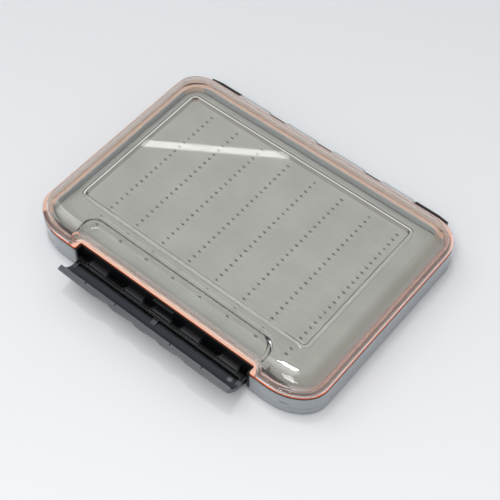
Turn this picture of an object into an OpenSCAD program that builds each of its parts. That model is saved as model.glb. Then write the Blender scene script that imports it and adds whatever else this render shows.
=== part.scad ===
// Slim waterproof fly box: a clear domed lid hinged along the back, a grey see-through tub,
// a black sealing frame with an orange gasket, and a long finger latch along the front.
// X runs along the latch, Y from the latch to the hinge and Z up. The origin is under the
// middle of the case, on the face it rests on. The lid is shut and the latch swung open.

/* [Case] */
// Width of the case, along the latch
case_w = 150; // [144:1:180]
// Depth of the case, without latch and hinge
case_d = 108; // [100:1:130]
// Height of the case with its lid shut
case_h = 21.3; // [20.6:0.1:24]
// Reach of the front corner curves along X
front_corner_x = 20; // [16:0.5:24]
// Reach of the front corner curves along Y
front_corner_y = 14; // [12:0.5:18]
// Reach of the back corner curves along X
back_corner_x = 14; // [10:0.5:14]
// Reach of the back corner curves along Y
back_corner_y = 12.5; // [10:0.5:16]

/* [Tub] */
// Height of the tub's upper edge
tub_h = 12; // [11.5:0.1:12.4]
// Thickness of the tub's walls
tub_wall = 1.4; // [1:0.1:2]
// Thickness of the tub's floor
tub_floor = 1.5; // [1:0.1:2]
// Rounding of the tub's lower edge
tub_edge = 1.2; // [0.6:0.1:1.8]
// Place of the small slot in the front right corner, from the middle
corner_slot_x = 61; // [58:0.5:64]
// Length of the corner slot
corner_slot_len = 4; // [2:0.5:5]
// Height of the corner slot's lower edge
corner_slot_z = 6.4; // [5:0.1:8]
// Width of the corner slot
corner_slot_h = 1; // [0.6:0.1:1.4]
// Depth of the corner slot
corner_slot_depth = 0.7; // [0.4:0.1:0.9]
// Height of the tub's shelf under the latch bay
shelf_h = 2.4; // [1.8:0.1:2.6]

/* [Frame] */
// Thickness of the black rim that shows between tub and gasket
rim_t = 0.8; // [0.5:0.1:1]
// Width of the sealing ring
ring_w = 5; // [4.8:0.1:6.5]
// Depth of the sealing ring inside the tub
ring_h = 2.2; // [1.8:0.1:2.2]
// Height of the hinge rail below the rim
rail_h = 3.6; // [3.2:0.1:4]
// Width of the hinge rail
rail_w = 4.5; // [4:0.1:6]
// Half length of the hinge rail
rail_half = 60; // [56:0.5:60]
// Clearance where the frame drops into the tub
seat_gap = 0.1; // [0.05:0.05:0.2]

/* [Latch bay] */
// Depth of the latch bay behind the front of the case
bay_depth = 3.3; // [3:0.1:4]
// Thickness of the plate behind the latch
apron_t = 1.3; // [1:0.1:1.6]
// Thickness of the cheeks beside the latch
cheek_t = 1; // [0.8:0.1:1.5]
// Clearance at each end of the latch
latch_end_gap = 0.6; // [0.4:0.1:1]
// Width of each of the four outer latch knuckles on the frame
bay_knuckle_w = 9.4; // [7:0.1:11]
// Width of the middle latch knuckle on the frame
mid_knuckle_w = 9.4; // [8:0.1:11]
// Radius of the latch knuckles on the frame
bay_knuckle_r = 1.6; // [1.5:0.05:1.8]
// Places of the inner pair of latch knuckles, from the middle
bay_knuckle_1 = 15.3; // [14:0.1:17]
// Places of the outer pair of latch knuckles, from the middle
bay_knuckle_2 = 35.4; // [34:0.1:36]
// How far the stop block over the middle knuckle stands out
stop_t = 1; // [0.6:0.1:1.2]
// Length of the stop block
stop_len = 11; // [6:0.5:20]
// Height of the stop block
stop_h = 1.4; // [1:0.1:1.6]
// Height of the stop block's lower edge over the latch pin
stop_z = 4.6; // [4.5:0.1:4.8]

/* [Gasket] */
// Thickness of the gasket strip on the rim
gasket_t = 0.8; // [0.6:0.1:1]
// Distance of the gasket from the edge of the rim
gasket_inset = 0.4; // [0.2:0.1:0.8]
// Width of the gasket strip
gasket_w = 3.6; // [3.4:0.1:4]
// Width of the gasket's key in its groove
key_w = 1.2; // [1:0.1:1.4]
// Depth of the gasket's groove
key_h = 1.3; // [1:0.1:1.6]
// Distance of the groove from the edge of the rim
key_inset = 1.6; // [1.4:0.1:1.8]

/* [Lid] */
// Clearance between the gasket and the shut lid
lid_gap = 0.1; // [0.1:0.05:0.3]
// Thickness of the lid's flange
flange_t = 1.2; // [1:0.1:1.6]
// Width of the lid's flange
flange_w = 1.8; // [1.6:0.1:3.2]
// Rounding of the flange's upper edge
flange_edge = 0.4; // [0.2:0.1:0.6]
// Wall thickness of the lid
lid_wall = 1.5; // [1.2:0.1:1.8]
// Distance of the raised window from the sides
window_side = 15; // [14:0.5:18]
// Distance of the raised window from the back
window_back = 16.4; // [15:0.2:20]
// Distance of the raised window from the front
window_front = 18.6; // [17.6:0.2:22]
// Corner radius of the raised window
window_corner = 3; // [2.6:0.1:5]
// Step up to the raised window
window_step = 0.5; // [0.3:0.1:0.8]
// Fullness of the shoulder between the flange and the window, where 2 is a plain quarter ellipse
shoulder_power = 3; // [2:0.25:3.5]

/* [Lid recess] */
// Height of the ledge that the latch catches, over the table
ledge_z = 16.9; // [16.6:0.1:17.2]
// Distance of the ledge's front face from the front of the case
ledge_inset = 5; // [4.8:0.1:5.2]
// Distance of the recess's back wall from the front of the case
recess_inset = 12.5; // [11.5:0.1:13.5]
// Half width of the recess
recess_half = 47.5; // [47:0.1:50]
// Corner radius of the recess
recess_corner = 5; // [3:0.5:6]
// How much wider the lid's notch is than the bay, at each side
notch_side = 0.9; // [0.6:0.1:1.2]
// Flare of the lid's notch where it meets the front
notch_flare = 3; // [2:0.5:4]

/* [Lid hinge] */
// Distance of the hinge pin behind the case
hinge_out = 1.2; // [1.1:0.1:1.6]
// Height of the hinge pin over the table
hinge_z = 11.4; // [11.2:0.1:11.5]
// Diameter of the hinge pin
hinge_pin_d = 1.2; // [1:0.1:1.4]
// Length of the hinge pin
hinge_pin_len = 116; // [108:1:118]
// Radius of the lid's four hinge tabs
tab_r = 1.9; // [1.7:0.1:1.9]
// Width of each hinge tab
tab_w = 17.5; // [14:0.5:18]
// Place of the inner pair of tabs, from the middle
tab_1 = 13.1; // [12.8:0.1:14]
// Place of the outer pair of tabs, from the middle
tab_2 = 39.4; // [38:0.1:40]
// Radius of the frame's hinge knuckles
knuckle_r = 1.4; // [1.2:0.05:1.4]
// Radius of the frame's hinge ends
end_r = 2.1; // [1.8:0.1:2.1]
// Length of the taper on the hinge ends
end_taper = 5; // [3:0.5:6]
// Clearance between hinge knuckles along the pin
hinge_gap = 0.4; // [0.3:0.05:0.6]

/* [Latch] */
// Length of the latch
latch_len = 90.6; // [86:0.1:94]
// Distance of the latch pin behind the front of the case
latch_in = 1.4; // [1.3:0.1:1.6]
// Height of the latch pin over the table
latch_z = 5.7; // [5.5:0.1:6]
// Diameter of the latch pin
latch_pin_d = 1.2; // [1:0.1:1.4]
// Radius of the latch's barrel
barrel_r = 1.5; // [1.4:0.05:1.6]
// Thickness of the latch
latch_t = 1.7; // [1.5:0.1:1.8]
// How far the hinge strip stands out over the latch pin, towards the bay
strip_reach = 1.5; // [1.4:0.05:1.6]
// Height of the hinge strip's edge over the latch pin
strip_h = 1.7; // [1.6:0.1:1.9]
// Depth of the latch's hollow in front of its pin
latch_face = 0.5; // [0.4:0.1:0.7]
// Height over the pin at which the latch starts to bend
plate_h = 5.8; // [5.6:0.1:6]
// Inner radius of the latch's bend
bend_r = 7.8; // [7.6:0.1:8]
// Angle of the latch's bend
bend_angle = 62; // [60:1:63]
// How far the finger grip thickens the latch's lip
lip_grip = 1.35; // [1:0.05:1.5]
// How much of that the lip loses again at its two ends
lip_slim = 0.75; // [0:0.05:1]
// Spacing of the four finger scallops
scallop_pitch = 13.2; // [11:0.1:15]
// Depth of the finger scallops
scallop_depth = 1.3; // [0.8:0.1:1.6]
// Depth of the two panels sunk into the latch's inner face
panel_depth = 0.45; // [0.2:0.05:0.6]
// Length of each sunk panel
panel_len = 42.3; // [34:0.1:42.5]
// Width of the bar between the panels
panel_bar = 2.2; // [1.6:0.1:4]
// Height of the panels' lower edge over the latch pin
panel_low = 3.1; // [3:0.1:3.4]
// Height of the panels' upper edge over the latch pin
panel_high = 6.9; // [6:0.1:7.2]
// Places of the inner pair of nicks in the lip, from the middle
nick_1 = 14.7; // [10:0.1:18]
// Places of the outer pair of nicks in the lip, from the middle
nick_2 = 31.2; // [28:0.1:36]
// Width of each nick
nick_w = 0.8; // [0.5:0.1:1.2]
// Depth of each nick
nick_depth = 0.9; // [0.4:0.1:1]
// Place of the ejector mark in the right panel, from the middle
mark_x = 40.3; // [20:0.1:41]
// Radius of the ejector mark
mark_r = 1.2; // [0.8:0.1:1.4]
// Depth of the ejector mark
mark_depth = 0.2; // [0.1:0.05:0.3]
// How far the shut latch leans in over the lid's ledge
latch_lean = 3; // [2.5:0.5:3.5]
// How far the latch is swung open at rest, from shut
latch_open = 73; // [66:0.5:80]

/* [Foam] */
// Height of the foam's top over the table
foam_top = 9.4; // [8:0.1:9.5]
// Thickness of the adhesive sheet under the foam
sheet_t = 0.3; // [0.2:0.1:0.5]
// Clearance between the foam and what is round it
foam_gap = 0.5; // [0.3:0.1:1]
// Spacing of the slits that hold the hooks
slit_pitch = 3.13; // [2.8:0.01:3.6]
// Number of slits
slit_count = 25; // [15:1:27]
// Distance of the middle slit behind the middle of the case
slit_shift = 1.25; // [0:0.05:2]
// Length of each slit
slit_len = 132; // [100:1:134]
// Width of each slit
slit_w = 0.4; // [0.2:0.1:0.6]
// Depth of each slit
slit_depth = 3; // [1:0.5:5]

/* [Hidden] */
corner_steps = 14;
dome_steps = 10;
round_fn = 64;
small_fn = 40;
eps = 0.5;
pin_play = 0.05;
pin_grip = 0.02;
tab_play = 0.3;
slot_play = 0.35;
front_y = -case_d / 2;
back_y = case_d / 2;
rim_z = tub_h + rim_t;
ring_z = tub_h - ring_h;
rail_z = tub_h - rail_h;
rail_y = back_y - rail_w;
bay_y = front_y + bay_depth;
bay_half = latch_len / 2 + latch_end_gap;
liner_half = bay_half + cheek_t;
liner_y = bay_y + apron_t;
lid_z = rim_z + gasket_t + lid_gap;
flange_z = lid_z + flange_t;
dome_z = case_h - window_step;
ledge_y = front_y + ledge_inset;
recess_y = front_y + recess_inset;
hinge_y = back_y + hinge_out;
latch_y = front_y + latch_in;
bend_y = bend_r - latch_face;
bend_end = 180 - bend_angle;
lip_r = bend_r + latch_t + lip_grip;
panel_y = -latch_face - panel_depth;
wave_half = 2 * scallop_pitch;
foam_z = tub_floor + sheet_t;
foam_front = liner_y + seat_gap + tub_wall + foam_gap;
foam_back = rail_y - foam_gap;

// One corner of an outline: part of an ellipse round a centre
function corner(cx, cy, rx, ry, start) =
    [for (i = [0 : corner_steps]) let (a = start + 90 * i / corner_steps) [cx + rx * cos(a), cy + ry * sin(a)]];

// An outline with its own front and back corner curves
function plan(hx, yf, yb, fx, fy, bx, by) = concat(
    corner(hx - bx, yb - by, bx, by, 0),
    corner(bx - hx, yb - by, bx, by, 90),
    corner(fx - hx, yf + fy, fx, fy, 180),
    corner(hx - fx, yf + fy, fx, fy, 270));

// The outline of the case, drawn in by a distance
function case_plan(in) = plan(case_w / 2 - in, front_y + in, back_y - in,
    front_corner_x - in, front_corner_y - in, back_corner_x - in, back_corner_y - in);

function mix(a, b, t) = a + (b - a) * t;

// A share of the lid's shoulder, which is steeper at its foot and fuller than a quarter circle
function shoulder(t) = pow(max(t, 0), 2 / shoulder_power);

// An outline between the lid's flange (t = 0) and its raised window (t = 1), drawn in by a distance
function dome_plan(t, in) = plan(
    mix(case_w / 2 - flange_w, case_w / 2 - window_side, t) - in,
    mix(front_y + flange_w, front_y + window_front, t) + in,
    mix(back_y - flange_w, back_y - window_back, t) - in,
    mix(front_corner_x - flange_w, window_corner, t) - in,
    mix(front_corner_y - flange_w, window_corner, t) - in,
    mix(back_corner_x - flange_w, window_corner, t) - in,
    mix(back_corner_y - flange_w, window_corner, t) - in);

function lift(outline, z) = [for (p = outline) [p[0], p[1], z]];

// A solid through a list of rings with equally many points
module loft(rings) {
    n = len(rings[0]);
    last = len(rings) - 1;
    points = [for (ring = rings) for (p = ring) p];
    sides = [for (k = [0 : last - 1]) for (i = [0 : n - 1])
        let (j = (i + 1) % n, a = k * n + i, b = k * n + j, c = b + n, d = a + n)
        each [[a, c, b], [a, d, c]]];
    bottom = [for (i = [0 : n - 1]) i];
    top = [for (i = [n - 1 : -1 : 0]) last * n + i];
    polyhedron(points, concat([bottom], sides, [top]), convexity = 6);
}

// Extrudes a section drawn in Y and Z along X
module along_x(from, length) {
    translate([from, 0, 0]) rotate([90, 0, 90]) linear_extrude(length, convexity = 6) children();
}

// A round bar along X at a height and a depth
module bar(r, from, length, y, z, fn) {
    translate([from, y, z]) rotate([0, 90, 0]) cylinder(r = r, h = length, $fn = fn);
}

module block(x0, x1, y0, y1, z0, z1) {
    translate([x0, y0, z0]) cube([x1 - x0, y1 - y0, z1 - z0]);
}

module mirrored() {
    children();
    mirror([1, 0, 0]) children();
}

// The rim's outline with the latch bay cut out, drawn in by a distance
module rim_shape(in) {
    difference() {
        polygon(case_plan(in));
        translate([-bay_half - in, front_y - eps]) square([2 * (bay_half + in), bay_depth + in + eps]);
    }
}

// Two sides with the tabs of the lid, wider by a clearance at each end
module each_tab(play) {
    for (place = [-tab_2, -tab_1, tab_1, tab_2]) translate([place - tab_w / 2 - play, 0, 0]) children();
}

// ---- Tub -------------------------------------------------------------------------------

module tub() {
    color([0.55, 0.58, 0.6, 0.5]) difference() {
        loft(concat(
            [for (i = [0 : 4]) let (a = 90 * i / 4)
                lift(case_plan(tub_edge * (1 - sin(a))), tub_edge * (1 - cos(a)))],
            [lift(case_plan(0), tub_h)]));
        translate([0, 0, tub_floor]) linear_extrude(tub_h) tub_cavity();
        block(-liner_half - seat_gap, liner_half + seat_gap, front_y - eps, liner_y + seat_gap, shelf_h, tub_h + eps);
        block(-liner_half - seat_gap - tub_wall, liner_half + seat_gap + tub_wall,
            front_y + tub_wall, liner_y + seat_gap + 2 * tub_wall, ring_z, tub_h + eps);
        block(-rail_half - seat_gap, rail_half + seat_gap, rail_y - seat_gap, back_y + eps, rail_z, tub_h + eps);
        corner_slot();
    }
}

// A shallow slot in the outside of the tub's front right corner
module corner_slot() {
    intersection() {
        block(corner_slot_x, corner_slot_x + corner_slot_len, front_y - eps, front_y + front_corner_y,
            corner_slot_z, corner_slot_z + corner_slot_h);
        linear_extrude(tub_h) difference() {
            polygon(case_plan(-eps));
            polygon(case_plan(corner_slot_depth));
        }
    }
}

// The tub's inside, which passes behind the latch bay
module tub_cavity() {
    difference() {
        polygon(case_plan(tub_wall));
        translate([-liner_half - seat_gap - tub_wall, front_y])
            square([2 * (liner_half + seat_gap + tub_wall), liner_y + seat_gap + tub_wall - front_y]);
    }
}

// ---- Frame -----------------------------------------------------------------------------

module frame() {
    color("#17191c") difference() {
        union() {
            sealing_ring();
            latch_bay();
            hinge_rail();
        }
        translate([0, 0, rim_z - key_h]) linear_extrude(key_h + eps) difference() {
            rim_shape(key_inset);
            rim_shape(key_inset + key_w);
        }
        each_tab(hinge_gap) {
            bar(tab_r + tab_play, 0, tab_w + 2 * hinge_gap, hinge_y, hinge_z, round_fn);
            block(0, tab_w + 2 * hinge_gap, hinge_y - tab_r - tab_play, hinge_y, hinge_z, rim_z + eps);
        }
        bar(hinge_pin_d / 2 + pin_grip, -hinge_pin_len / 2, hinge_pin_len, hinge_y, hinge_z, small_fn);
        bar(latch_pin_d / 2 + pin_grip, -liner_half - eps, 2 * (liner_half + eps), latch_y, latch_z, small_fn);
    }
}

// The flat ring that carries the gasket, with a rim that covers the tub's edge
module sealing_ring() {
    translate([0, 0, tub_h]) linear_extrude(rim_t) difference() {
        rim_shape(0);
        rim_shape(ring_w);
    }
    translate([0, 0, ring_z]) linear_extrude(ring_h) difference() {
        intersection() {
            rim_shape(0);
            polygon(case_plan(tub_wall + seat_gap));
        }
        rim_shape(ring_w);
    }
}

// The black liner of the latch bay: a plate, two cheeks, five knuckles and a stop block
module latch_bay() {
    block(-liner_half, liner_half, bay_y, liner_y, shelf_h, tub_h);
    mirrored() block(bay_half, liner_half, front_y, bay_y, shelf_h, rim_z);
    for (place = [-bay_knuckle_2, -bay_knuckle_1, bay_knuckle_1, bay_knuckle_2])
        bay_knuckle(place, bay_knuckle_w);
    bay_knuckle(0, mid_knuckle_w);
    block(-stop_len / 2, stop_len / 2, bay_y - stop_t, bay_y, latch_z + stop_z, latch_z + stop_z + stop_h);
}

module bay_knuckle(place, width) {
    bar(bay_knuckle_r, place - width / 2, width, latch_y, latch_z, round_fn);
    block(place - width / 2, place + width / 2, latch_y, bay_y, latch_z - bay_knuckle_r, latch_z + bay_knuckle_r);
}

// The rail at the back, with knuckles between the lid's tabs and rounded ends that taper off
module hinge_rail() {
    inner = tab_1 + tab_w / 2 + hinge_gap;
    outer = tab_2 - tab_w / 2 - hinge_gap;
    first = tab_1 - tab_w / 2 - hinge_gap;
    end = tab_2 + tab_w / 2 + hinge_gap;
    block(-rail_half, rail_half, rail_y, back_y, rail_z, tub_h);
    rail_knuckle(-first, first, knuckle_r);
    mirrored() {
        rail_knuckle(inner, outer, knuckle_r);
        rail_knuckle(end, rail_half, end_r);
        intersection() {
            translate([rail_half, hinge_y, hinge_z]) rotate([0, 90, 0])
                cylinder(r1 = end_r, r2 = hinge_out + tub_wall / 4, h = end_taper, $fn = round_fn);
            block(rail_half, rail_half + end_taper, back_y + seat_gap, hinge_y + end_r, 0, case_h);
        }
    }
}

module rail_knuckle(from, to, r) {
    bar(r, from, to - from, hinge_y, hinge_z, round_fn);
    block(from, to, back_y - tub_wall, hinge_y, hinge_z - r, min(hinge_z + r, rim_z));
}

// ---- Gasket ----------------------------------------------------------------------------

module gasket() {
    color("#e2683a") {
        translate([0, 0, rim_z]) linear_extrude(gasket_t) difference() {
            rim_shape(gasket_inset);
            rim_shape(gasket_inset + gasket_w);
            translate([-rail_half, hinge_y - tab_r - tab_play - gasket_inset])
                square([2 * rail_half, rail_w]);
        }
        translate([0, 0, rim_z - key_h]) linear_extrude(key_h) difference() {
            rim_shape(key_inset);
            rim_shape(key_inset + key_w);
        }
    }
}

// ---- Foam ------------------------------------------------------------------------------

module foam_shape() {
    intersection() {
        polygon(case_plan(tub_wall + foam_gap));
        translate([-case_w / 2, foam_front]) square([case_w, foam_back - foam_front]);
    }
}

module foam_pad() {
    color("#a9aba5") difference() {
        translate([0, 0, foam_z]) linear_extrude(foam_top - foam_z) foam_shape();
        for (i = [0 : slit_count - 1])
            translate([-slit_len / 2, slit_shift + (i - (slit_count - 1) / 2) * slit_pitch - slit_w / 2,
                foam_top - slit_depth]) cube([slit_len, slit_w, slit_depth + eps]);
    }
}

module adhesive_sheet() {
    color("#d8d4c4") translate([0, 0, tub_floor]) linear_extrude(sheet_t) foam_shape();
}

// ---- Lid -------------------------------------------------------------------------------

module lid() {
    color([0.86, 0.88, 0.88, 0.35]) difference() {
        union() {
            difference() {
                lid_outside();
                lid_inside();
                translate([0, 0, ledge_z]) linear_extrude(case_h) recess_shape(0);
                translate([0, 0, lid_z - eps]) linear_extrude(case_h) notch_shape(0);
            }
            each_tab(0) along_x(0, tab_w) tab_section();
        }
        each_tab(eps) bar(hinge_pin_d / 2 + pin_play, 0, tab_w + 2 * eps, hinge_y, hinge_z, small_fn);
    }
}

// Flange, rounded shoulder and raised window
module lid_outside() {
    loft(concat(
        [lift(case_plan(0), lid_z),
         lift(case_plan(0), flange_z - flange_edge),
         lift(case_plan(flange_edge), flange_z)],
        [for (i = [0 : dome_steps]) let (a = 90 * i / dome_steps)
            lift(dome_plan(1 - shoulder(cos(a)), 0), mix(flange_z, dome_z, shoulder(sin(a))))],
        [lift(dome_plan(1, window_step / 2), case_h)]));
}

// The hollow under the lid, kept clear of the recess for the latch
module lid_inside() {
    difference() {
        loft(concat(
            [lift(dome_plan(0, lid_wall), lid_z - eps)],
            [for (i = [0 : dome_steps]) let (a = 90 * i / dome_steps)
                lift(dome_plan(1 - shoulder(cos(a)), lid_wall),
                    mix(flange_z, dome_z - lid_wall, shoulder(sin(a))))],
            [lift(dome_plan(1, lid_wall + window_step / 2), case_h - lid_wall)]));
        translate([0, 0, ledge_z - lid_wall]) linear_extrude(case_h) recess_shape(lid_wall);
        translate([0, 0, lid_z - 2 * eps]) linear_extrude(case_h) notch_shape(lid_wall);
    }
}

// The finger recess behind the shut latch, grown by a distance
module recess_shape(grow) {
    half = recess_half + grow;
    y = recess_y + grow;
    translate([-half, front_y - eps]) square([2 * half, y - recess_corner - front_y + eps]);
    translate([recess_corner - half, front_y - eps]) square([2 * (half - recess_corner), y - front_y + eps]);
    for (side = [-1, 1]) translate([side * (half - recess_corner), y - recess_corner])
        circle(recess_corner, $fn = round_fn);
}

// The notch that lets the latch past the flange, grown by a distance
module notch_shape(grow) {
    half = bay_half + notch_side + grow;
    polygon([[-half, ledge_y + grow], [half, ledge_y + grow],
        [half + notch_flare, front_y - eps], [-half - notch_flare, front_y - eps]]);
}

// Section of a hinge tab: an eye round the pin, with a web up to the flange
module tab_section() {
    translate([hinge_y, hinge_z]) circle(tab_r, $fn = round_fn);
    polygon([[hinge_y - tab_r, hinge_z], [hinge_y, hinge_z],
        [hinge_y + tab_r * cos(35), hinge_z + tab_r * sin(35)],
        [back_y, flange_z], [back_y - flange_w / 2, flange_z], [back_y - flange_w / 2, lid_z],
        [hinge_y - tab_r, lid_z]]);
}

module hinge_pin() {
    color("#b9bcc0") bar(hinge_pin_d / 2, -hinge_pin_len / 2, hinge_pin_len, hinge_y, hinge_z, small_fn);
}

// ---- Latch -----------------------------------------------------------------------------

module latch() {
    color("#2c2f34") translate([0, latch_y, latch_z]) rotate([latch_open - latch_lean, 0, 0]) difference() {
        union() {
            bar(barrel_r, -latch_len / 2, latch_len, 0, 0, round_fn);
            along_x(-latch_len / 2, latch_len) latch_section();
        }
        bar(latch_pin_d / 2 + pin_play, -latch_len / 2 - eps, latch_len + 2 * eps, 0, 0, small_fn);
        for (place = [-bay_knuckle_2, -bay_knuckle_1, bay_knuckle_1, bay_knuckle_2])
            latch_slot(place, bay_knuckle_w);
        latch_slot(0, mid_knuckle_w);
        mirrored() block(panel_bar / 2, panel_bar / 2 + panel_len, panel_y, strip_reach, panel_low, panel_high);
        translate([mark_x, panel_y + eps, (panel_low + panel_high) / 2])
            rotate([90, 0, 0]) cylinder(r = mark_r, h = mark_depth + eps, $fn = small_fn);
        translate([0, bend_y, plate_h]) rotate([bend_end, 0, 0]) {
            scallops();
            for (place = [-nick_2, -nick_1, nick_1, nick_2])
                block(place - nick_w / 2, place + nick_w / 2, bend_r - nick_depth, bend_r + nick_depth, -eps, nick_depth);
        }
    }
}

// Section of the latch: a hinge strip over the barrel and a plate that bends in to a thick lip
module latch_section() {
    inner_bend = [for (i = [0 : dome_steps]) let (a = 180 - bend_angle * i / dome_steps)
        [bend_y + bend_r * cos(a), plate_h + bend_r * sin(a)]];
    outer_bend = [for (i = [dome_steps : -1 : 0])
        let (a = 180 - bend_angle * i / dome_steps, r = mix(bend_r + latch_t, lip_r, pow(i / dome_steps, 5)))
        [bend_y + r * cos(a), plate_h + r * sin(a)]];
    polygon(concat([[barrel_r, 0], [strip_reach, strip_h]], inner_bend, outer_bend,
        [[-(barrel_r + latch_face + latch_t) / 2, strip_h], [-barrel_r, 0]]));
}

// Room for one knuckle of the frame, open towards the bay
module latch_slot(place, width) {
    room = bay_knuckle_r + slot_play;
    bar(room, place - width / 2 - slot_play, width + 2 * slot_play, 0, 0, round_fn);
    block(place - width / 2 - slot_play, place + width / 2 + slot_play, 0, room + strip_reach, -room, room + slot_play);
}

// Four finger scallops in the outside of the lip, as one wave, and the slimmer ends beside them
module scallops() {
    half = latch_len / 2 + eps;
    steps = 72;
    wave = [for (i = [0 : steps]) let (x = -wave_half + 2 * wave_half * i / steps)
        [x, lip_r - scallop_depth * (1 - cos(360 * x / scallop_pitch)) / 2]];
    translate([0, 0, -eps]) linear_extrude(plate_h)
        polygon(concat([[-half, lip_r - lip_slim]], wave,
            [[half, lip_r - lip_slim], [half, lip_r + eps], [-half, lip_r + eps]]));
}

module latch_pin() {
    color("#b9bcc0") bar(latch_pin_d / 2, -liner_half, 2 * liner_half, latch_y, latch_z, small_fn);
}

tub();
frame();
gasket();
foam_pad();
adhesive_sheet();
lid();
hinge_pin();
latch();
latch_pin();
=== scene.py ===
"""Looks of a slim waterproof fly box: clear domed lid, smoke tub, black frame, orange gasket, finger latch."""

import math

import bmesh
import bpy
from mathutils import Matrix, Vector


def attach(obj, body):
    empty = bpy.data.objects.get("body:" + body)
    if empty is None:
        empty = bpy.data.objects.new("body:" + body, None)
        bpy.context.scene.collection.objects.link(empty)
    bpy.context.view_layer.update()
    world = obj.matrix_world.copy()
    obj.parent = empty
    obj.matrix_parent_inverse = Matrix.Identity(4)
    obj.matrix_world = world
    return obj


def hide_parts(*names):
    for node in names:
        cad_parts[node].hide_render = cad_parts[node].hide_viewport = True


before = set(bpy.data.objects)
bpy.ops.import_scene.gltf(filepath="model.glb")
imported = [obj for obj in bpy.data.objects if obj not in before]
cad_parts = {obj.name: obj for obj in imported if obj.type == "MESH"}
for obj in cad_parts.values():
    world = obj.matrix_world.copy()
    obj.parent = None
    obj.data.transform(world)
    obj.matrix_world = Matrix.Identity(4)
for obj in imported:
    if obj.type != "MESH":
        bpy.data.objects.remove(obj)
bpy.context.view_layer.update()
MM = 0.001

# The case in millimetres, as it is drawn: half its width, its front and back, and the latch bay in its front
HALF_W, FRONT, BACK = 75.0, -54.0, 54.0
BAY_HALF, BAY_Y = 46.3, -50.7


# ---- Helpers ---------------------------------------------------------------------------

def srgb(code):
    """An sRGB hex colour as the linear values that a shader takes."""
    parts = [int(code[i:i + 2], 16) / 255 for i in (1, 3, 5)]
    return tuple(c / 12.92 if c <= 0.04045 else ((c + 0.055) / 1.055) ** 2.4 for c in parts) + (1.0,)


def add(tree, kind, inputs=None, **settings):
    """Adds a node with its settings, and its inputs as values or as links from other sockets."""
    node = tree.nodes.new(kind)
    for key, value in settings.items():
        setattr(node, key, value)
    for key, value in (inputs or {}).items():
        if isinstance(value, bpy.types.NodeSocket):
            tree.links.new(value, node.inputs[key])
        else:
            node.inputs[key].default_value = value
    return node


def new_material(name):
    """An empty material with its node tree."""
    material = bpy.data.materials.new(name)
    material.use_nodes = True
    material.node_tree.nodes.clear()
    return material, material.node_tree


def new_piece(name, points, faces, material, smooth=True):
    """A mesh piece from points in millimetres."""
    mesh = bpy.data.meshes.new(name)
    mesh.from_pydata([[c * MM for c in p] for p in points], [], faces)
    mesh.validate()
    solid = bmesh.new()
    solid.from_mesh(mesh)
    bmesh.ops.recalc_face_normals(solid, faces=solid.faces)
    for face in solid.faces:
        face.smooth = smooth
    solid.to_mesh(mesh)
    solid.free()
    mesh.materials.append(material)
    piece = bpy.data.objects.new(name, mesh)
    bpy.context.scene.collection.objects.link(piece)
    return piece


def even_normals(piece):
    """Keeps large flat faces flat to the eye where they meet rounded edges."""
    shading = piece.modifiers.new("even_normals", "WEIGHTED_NORMAL")
    shading.keep_sharp = True


def moulded(node, name, radius, material):
    """A CAD node's solid again, with its edges broken as a mould leaves them. The radius is in millimetres."""
    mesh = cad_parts[node].data
    points, faces = [v.co / MM for v in mesh.vertices], [list(p.vertices) for p in mesh.polygons]
    piece = new_piece(name, points, faces, material)
    # Flat faces are joined first, so that only real edges are broken
    solid = bmesh.new()
    solid.from_mesh(piece.data)
    bmesh.ops.remove_doubles(solid, verts=solid.verts, dist=0.002 * MM)
    bmesh.ops.dissolve_limit(solid, angle_limit=math.radians(0.6), verts=solid.verts, edges=solid.edges)
    bmesh.ops.recalc_face_normals(solid, faces=solid.faces)
    solid.to_mesh(piece.data)
    solid.free()
    piece.data.set_sharp_from_angle(angle=math.radians(30))
    rounding = piece.modifiers.new("broken_edges", "BEVEL")
    rounding.width = radius * MM
    rounding.segments = 2
    rounding.limit_method = "ANGLE"
    rounding.angle_limit = math.radians(40)
    rounding.harden_normals = True
    return piece


# ---- Materials -------------------------------------------------------------------------

POLYCARBONATE_IOR, ABS_IOR, SILICONE_IOR, FOAM_IOR = 1.585, 1.53, 1.41, 1.45
# Rectangles seen from above, in millimetres: half the width, the middle's y and half the depth
CASE_PLAN, PANE_PLAN = (HALF_W, 0.0, BACK), (60.0, 1.1, 36.5)
# How softly a painted line ends, in millimetres, and a distance that lies past every outline
CRISP, BEYOND = 0.06, 5.0


def object_place(tree):
    """Places in the piece's own frame, which the joints carry along."""
    return add(tree, "ShaderNodeTexCoord").outputs["Object"]


def split(tree, vector):
    """The X, Y and Z of a vector."""
    return add(tree, "ShaderNodeSeparateXYZ", {"Vector": vector}).outputs


def math_node(tree, operation, a, b=0.0):
    """A sum, difference or the like of two values or sockets."""
    return add(tree, "ShaderNodeMath", {0: a, 1: b}, operation=operation).outputs["Value"]


def times(tree, first, *others):
    """The product of values or sockets."""
    for other in others:
        first = math_node(tree, "MULTIPLY", first, other)
    return first


def less(tree, a, b):
    """The difference of two values or sockets."""
    return math_node(tree, "SUBTRACT", a, b)


def ramp(tree, value, start, end, low=0.0, high=1.0):
    """A value carried from one range to another, and held inside it."""
    return add(tree, "ShaderNodeMapRange", {"Value": value, "From Min": start, "From Max": end,
                                            "To Min": low, "To Max": high}).outputs["Result"]


def noise(tree, vector, scale, detail):
    """Soft noise. The scale is in patches per metre."""
    return add(tree, "ShaderNodeTexNoise", {"Vector": vector, "Scale": scale, "Detail": detail}).outputs["Fac"]


def two_tones(tree, factor, dark, light, start=0.0, end=1.0):
    """A colour that drifts between two tones."""
    node = add(tree, "ShaderNodeValToRGB", {"Fac": factor})
    for element, tone, position in zip(node.color_ramp.elements, (dark, light), (start, end)):
        element.position = position
        element.color = srgb(tone)
    return node.outputs["Color"]


def apart(tree, a, b):
    """The distance between two places."""
    return add(tree, "ShaderNodeVectorMath", {0: a, 1: b}, operation="DISTANCE").outputs["Value"]


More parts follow.
